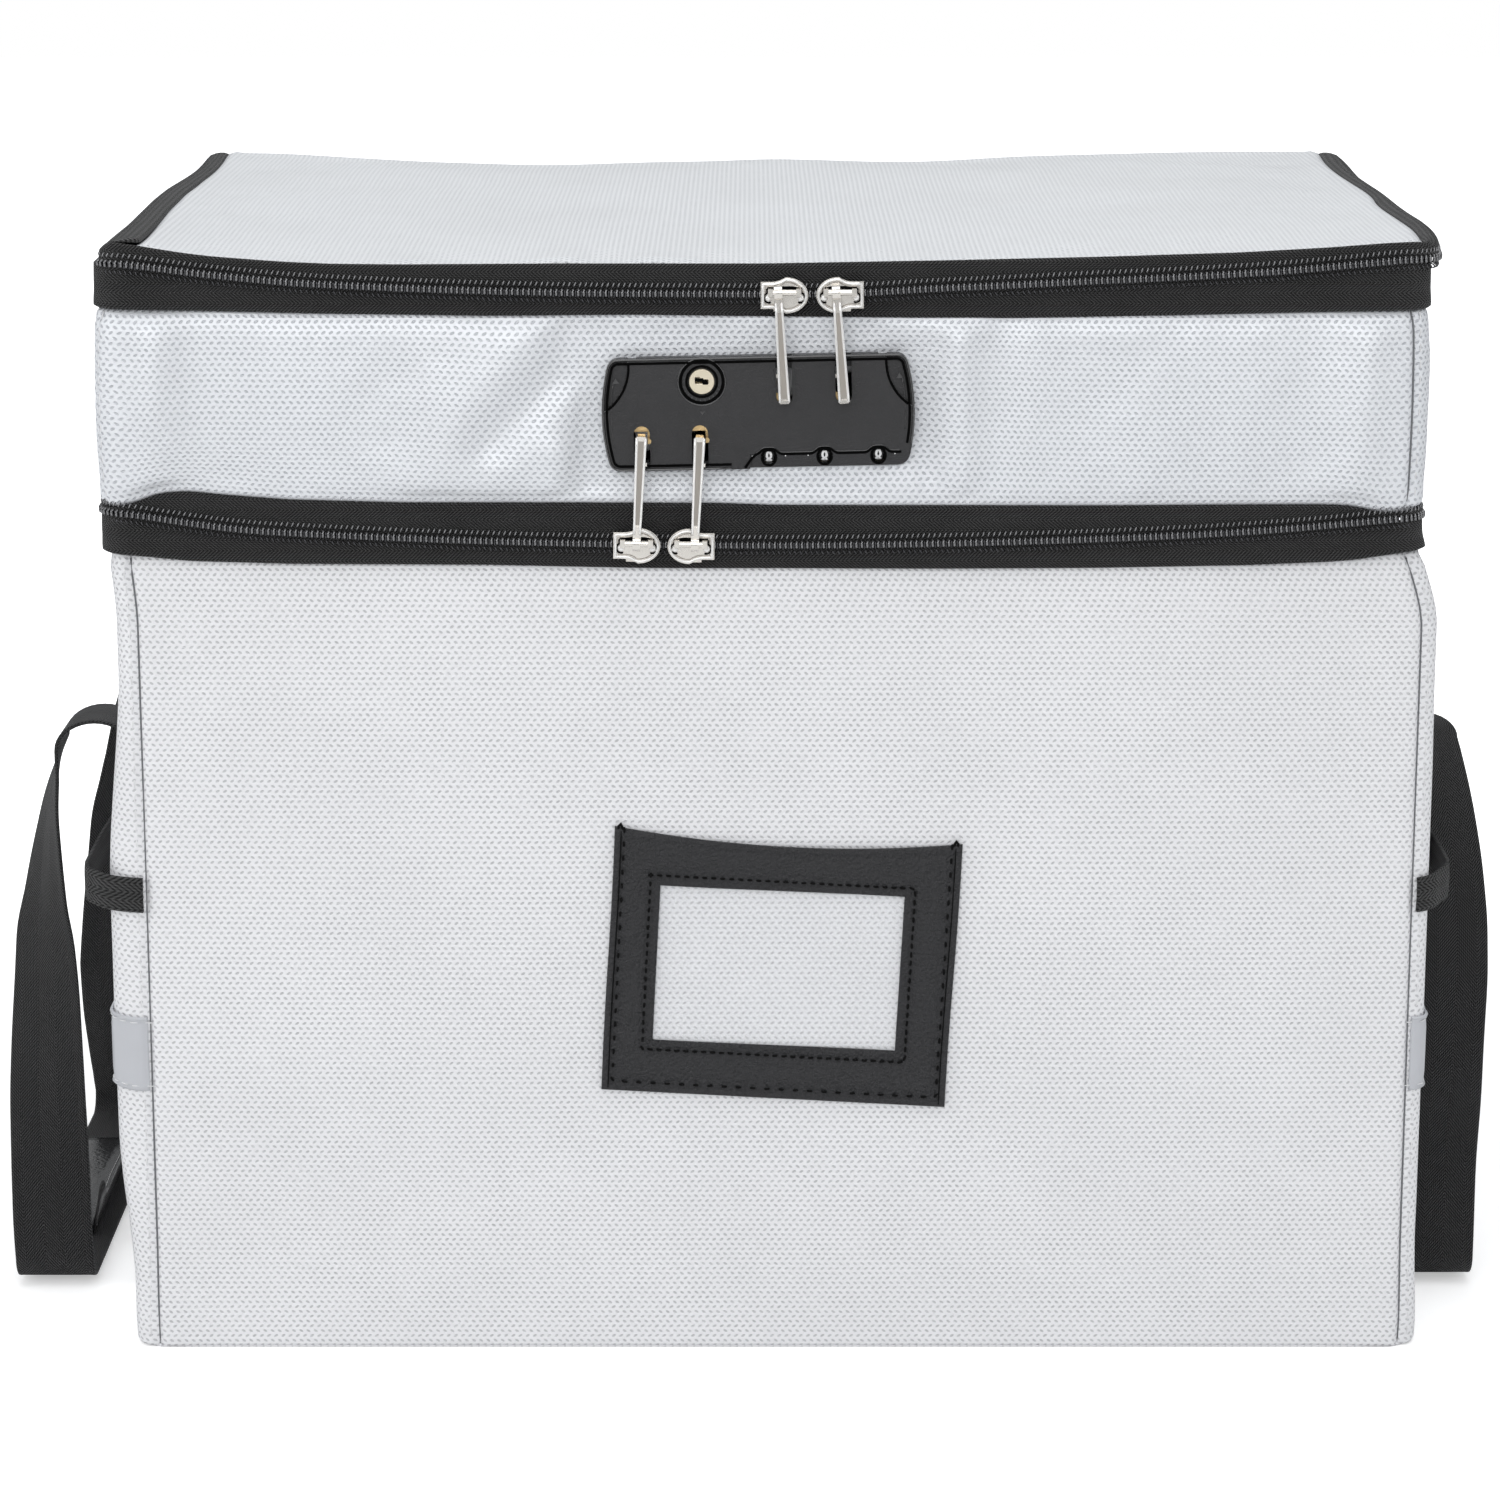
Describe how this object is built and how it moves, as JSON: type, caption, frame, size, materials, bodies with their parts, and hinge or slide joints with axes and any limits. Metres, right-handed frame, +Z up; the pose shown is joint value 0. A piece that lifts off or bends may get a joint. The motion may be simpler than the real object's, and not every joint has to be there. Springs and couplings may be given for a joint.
{
  "type": "portable file box",
  "caption": "Soft-sided box for papers: deep lower box with side carry loops, shallow upper tier and lid, zips locked by a combination lock, label pocket in front.",
  "frame": {"origin": "centre of the base's underside", "axes": "+X to the right as seen from the front, the front faces -Y, +Z up"},
  "size_m": [0.525, 0.3316, 0.38],
  "materials": {
    "silver_cloth": "coated glass cloth, matt silver",
    "tier_cloth": "coated glass cloth, matt silver, slightly darker",
    "black_tape": "black woven zip tape and binding",
    "black_webbing": "black woven webbing",
    "black_chain": "black nylon coil",
    "board": "stiff fibre board",
    "lining": "grey coated lining",
    "black_leather": "black grained leatherette",
    "clear_film": "clear flexible film",
    "reflector": "grey reflective strip",
    "nickel": "nickel plated, bright",
    "lock_black": "black, fine matt grain",
    "brass": "brushed",
    "steel": "plain steel",
    "grip_black": "black moulded sleeve, slightly glossy"
  },
  "bodies": {
    "base": {"bottom_skin": "silver_cloth", "front_skin": "silver_cloth", "back_skin": "silver_cloth", "left_skin": "silver_cloth", "right_skin": "silver_cloth", "bottom_board": "board", "wall_boards": "board", "lower_lining": "lining", "label_frame": "black_leather", "label_window": "clear_film", "left_side_band": "black_tape", "right_side_band": "black_tape", "reflector_strips": "reflector", "lower_zip_tape_base": "black_tape", "lower_zip_chain_base": "black_chain", "lower_hinge_band_base": "black_tape", "handle_ends": "black_webbing"},
    "left_loop": {"left_handle": "black_webbing", "left_grip": "grip_black"},
    "right_loop": {"right_handle": "black_webbing", "right_grip": "grip_black"},
    "tier": {"tier_front_skin": "tier_cloth", "tier_back_skin": "tier_cloth", "tier_left_skin": "tier_cloth", "tier_right_skin": "tier_cloth", "tier_floor_skin": "lining", "tier_floor_board": "board", "tier_wall_boards": "board", "tier_lining": "lining", "lower_zip_tape_tier": "black_tape", "lower_zip_chain_tier": "black_chain", "lower_hinge_band_tier": "black_tape", "upper_zip_tape_tier": "black_tape", "upper_zip_chain_tier": "black_chain", "upper_hinge_band_tier": "black_tape", "lock_case": "lock_black", "lock_back_cover": "steel", "lock_screws": "steel", "dial_shaft": "steel"},
    "lid": {"lid_skin": "silver_cloth", "lid_board": "board", "upper_zip_tape_lid": "black_tape", "upper_zip_chain_lid": "black_chain", "upper_hinge_band_lid": "black_tape"},
    "number_dial_left": {"dial_left": "lock_black"},
    "number_dial_middle": {"dial_middle": "lock_black"},
    "number_dial_right": {"dial_right": "lock_black"},
    "key_cylinder": {"key_plug": "steel"},
    "left_release": {"left_button": "lock_black", "left_hooks": "brass"},
    "right_release": {"right_button": "lock_black", "right_hooks": "brass"},
    "zip_slider_upper_left": {"slider_upper_left": "nickel"},
    "zip_pull_upper_left": {"pull_upper_left": "nickel"},
    "zip_slider_upper_right": {"slider_upper_right": "nickel"},
    "zip_pull_upper_right": {"pull_upper_right": "nickel"},
    "zip_slider_lower_left": {"slider_lower_left": "nickel"},
    "zip_pull_lower_left": {"pull_lower_left": "nickel"},
    "zip_slider_lower_right": {"slider_lower_right": "nickel"},
    "zip_pull_lower_right": {"pull_lower_right": "nickel"}
  },
  "joints": [
    {"name": "tier_hinge", "type": "hinge", "parent": "base", "child": "tier", "pos_m": [0, 0.1615, 0.288], "axis": [-1, 0, 0], "range_deg": [0, 110]},
    {"name": "lid_hinge", "type": "hinge", "parent": "tier", "child": "lid", "pos_m": [0, 0.1615, 0.3724], "axis": [-1, 0, 0], "range_deg": [0, 110]},
    {"name": "slide_upper_left", "type": "hinge", "parent": "tier", "child": "zip_slider_upper_left", "pos_m": [0, -0.16, 2.8179], "axis": [0, 1, 0], "range_deg": [0, 4.66]},
    {"name": "slide_upper_right", "type": "hinge", "parent": "tier", "child": "zip_slider_upper_right", "pos_m": [0, -0.16, 2.8179], "axis": [0, -1, 0], "range_deg": [0, 4.08]},
    {"name": "slide_lower_left", "type": "hinge", "parent": "base", "child": "zip_slider_lower_left", "pos_m": [0, -0.16, 3.26403], "axis": [0, 1, 0], "range_deg": [0, 2.83]},
    {"name": "slide_lower_right", "type": "hinge", "parent": "base", "child": "zip_slider_lower_right", "pos_m": [0, -0.16, 3.26403], "axis": [0, -1, 0], "range_deg": [0, 4.21]},
    {"name": "flip_upper_left", "type": "hinge", "parent": "zip_slider_upper_left", "child": "zip_pull_upper_left", "pos_m": [0.0014, -0.16755, 0.3646], "axis": [-1, 0, -0.0014], "range_deg": [-4.5, 150]},
    {"name": "flip_upper_right", "type": "hinge", "parent": "zip_slider_upper_right", "child": "zip_pull_upper_right", "pos_m": [0.02019, -0.16755, 0.36468], "axis": [-1, 0, -0.0088], "range_deg": [-4.5, 150]},
    {"name": "flip_lower_left", "type": "hinge", "parent": "zip_slider_lower_left", "child": "zip_pull_lower_left", "pos_m": [-0.04488, -0.16755, 0.28214], "axis": [0.9999, 0, -0.015], "range_deg": [-4.5, 170]},
    {"name": "flip_lower_right", "type": "hinge", "parent": "zip_slider_lower_right", "child": "zip_pull_lower_right", "pos_m": [-0.02579, -0.16755, 0.28191], "axis": [1, 0, -0.0091], "range_deg": [-4.5, 170]},
    {"name": "turn_dial_left", "type": "hinge", "parent": "tier", "child": "number_dial_left", "pos_m": [-0.00154, -0.1593, 0.31277], "axis": [0.9998, 0, 0.0209], "continuous": true},
    {"name": "turn_dial_middle", "type": "hinge", "parent": "tier", "child": "number_dial_middle", "pos_m": [0.01665, -0.1593, 0.31315], "axis": [0.9998, 0, 0.0209], "continuous": true},
    {"name": "turn_dial_right", "type": "hinge", "parent": "tier", "child": "number_dial_right", "pos_m": [0.03425, -0.1593, 0.31352], "axis": [0.9998, 0, 0.0209], "continuous": true},
    {"name": "turn_key", "type": "hinge", "parent": "tier", "child": "key_cylinder", "pos_m": [-0.02342, -0.165, 0.33532], "axis": [0, 1, 0], "range_deg": [0, 90]},
    {"name": "press_left_button", "type": "slide", "parent": "tier", "child": "left_release", "axis": [0.9998, 0, 0.0209], "range_m": [0, 0.0025], "stiffness_N_per_m": 400, "springref_m": -0.002},
    {"name": "press_right_button", "type": "slide", "parent": "tier", "child": "right_release", "axis": [-0.9998, 0, -0.0209], "range_m": [0, 0.0025], "stiffness_N_per_m": 400, "springref_m": -0.002},
    {"name": "lift_left_handle", "type": "hinge", "parent": "base", "child": "left_loop", "pos_m": [-0.2342, 0, 0.2122], "axis": [0, 1, 0], "range_deg": [0, 150]},
    {"name": "lift_right_handle", "type": "hinge", "parent": "base", "child": "right_loop", "pos_m": [0.2301, 0, 0.2081], "axis": [0, -1, 0], "range_deg": [0, 150]}
  ]
}
